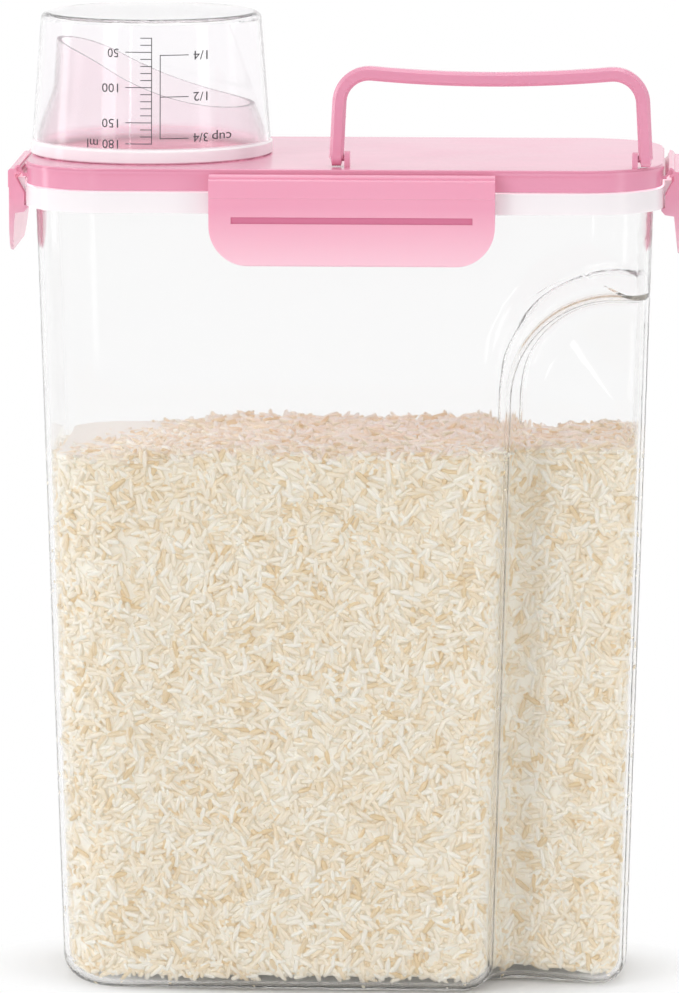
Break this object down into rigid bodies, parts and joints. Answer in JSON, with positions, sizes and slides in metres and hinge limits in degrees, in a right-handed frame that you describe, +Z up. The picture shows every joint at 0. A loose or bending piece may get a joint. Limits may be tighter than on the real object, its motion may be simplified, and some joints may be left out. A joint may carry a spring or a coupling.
{
  "type": "food storage container",
  "caption": "Tall clear dry food keeper with a grip recess, a latched lid with a pour spout, a folding carry handle and a measuring cup.",
  "frame": {"origin": "middle of the whole keeper's plan, on the surface that the container's foot stands on", "axes": "+Z up, +X from the spout end to the grip end, -Y to the front, where the cup's marks and the handle are"},
  "size_m": [0.2212, 0.1152, 0.323],
  "materials": {
    "clear_tub": "injection-moulded clarified polypropylene, glossy",
    "clear_cup": "injection-moulded clarified polypropylene, glossy",
    "pink_lid": "injection-moulded coloured polypropylene, satin gloss",
    "pink_latch": "injection-moulded coloured polypropylene, satin gloss",
    "pink_handle": "injection-moulded coloured polypropylene, satin gloss",
    "clear_silicone": "moulded silicone, matt",
    "white_silicone": "moulded silicone, matt"
  },
  "bodies": {
    "container": {"container": "clear_tub"},
    "lid": {"lid": "pink_lid", "lid_gasket": "clear_silicone", "spout_seal": "white_silicone"},
    "latch_front": {"latch_front": "pink_latch"},
    "latch_back": {"latch_back": "pink_latch"},
    "latch_left": {"latch_left": "pink_latch"},
    "latch_right": {"latch_right": "pink_latch"},
    "carry_handle": {"carry_handle": "pink_handle"},
    "measuring_cup": {"measuring_cup": "clear_cup"}
  },
  "joints": [
    {"name": "lid_lift", "type": "slide", "parent": "container", "child": "lid", "axis": [0, 0, 1], "range_m": [0, 0.12]},
    {"name": "latch_front_hinge", "type": "hinge", "parent": "lid", "child": "latch_front", "pos_m": [0.0038, -0.0539, 0.273], "axis": [-1, 0, 0], "range_deg": [0, 95]},
    {"name": "latch_back_hinge", "type": "hinge", "parent": "lid", "child": "latch_back", "pos_m": [0.0038, 0.0539, 0.273], "axis": [1, 0, 0], "range_deg": [0, 95]},
    {"name": "latch_left_hinge", "type": "hinge", "parent": "lid", "child": "latch_left", "pos_m": [-0.1069, 0, 0.273], "axis": [0, 1, 0], "range_deg": [0, 95]},
    {"name": "latch_right_hinge", "type": "hinge", "parent": "lid", "child": "latch_right", "pos_m": [0.1069, 0, 0.273], "axis": [0, -1, 0], "range_deg": [0, 95]},
    {"name": "handle_fold", "type": "hinge", "parent": "lid", "child": "carry_handle", "pos_m": [0.0486, -0.0418, 0.2789], "axis": [-1, 0, 0], "range_deg": [0, 90]},
    {"name": "cup_lift", "type": "slide", "parent": "lid", "child": "measuring_cup", "axis": [0, 0, 1], "range_m": [0, 0.08]}
  ]
}
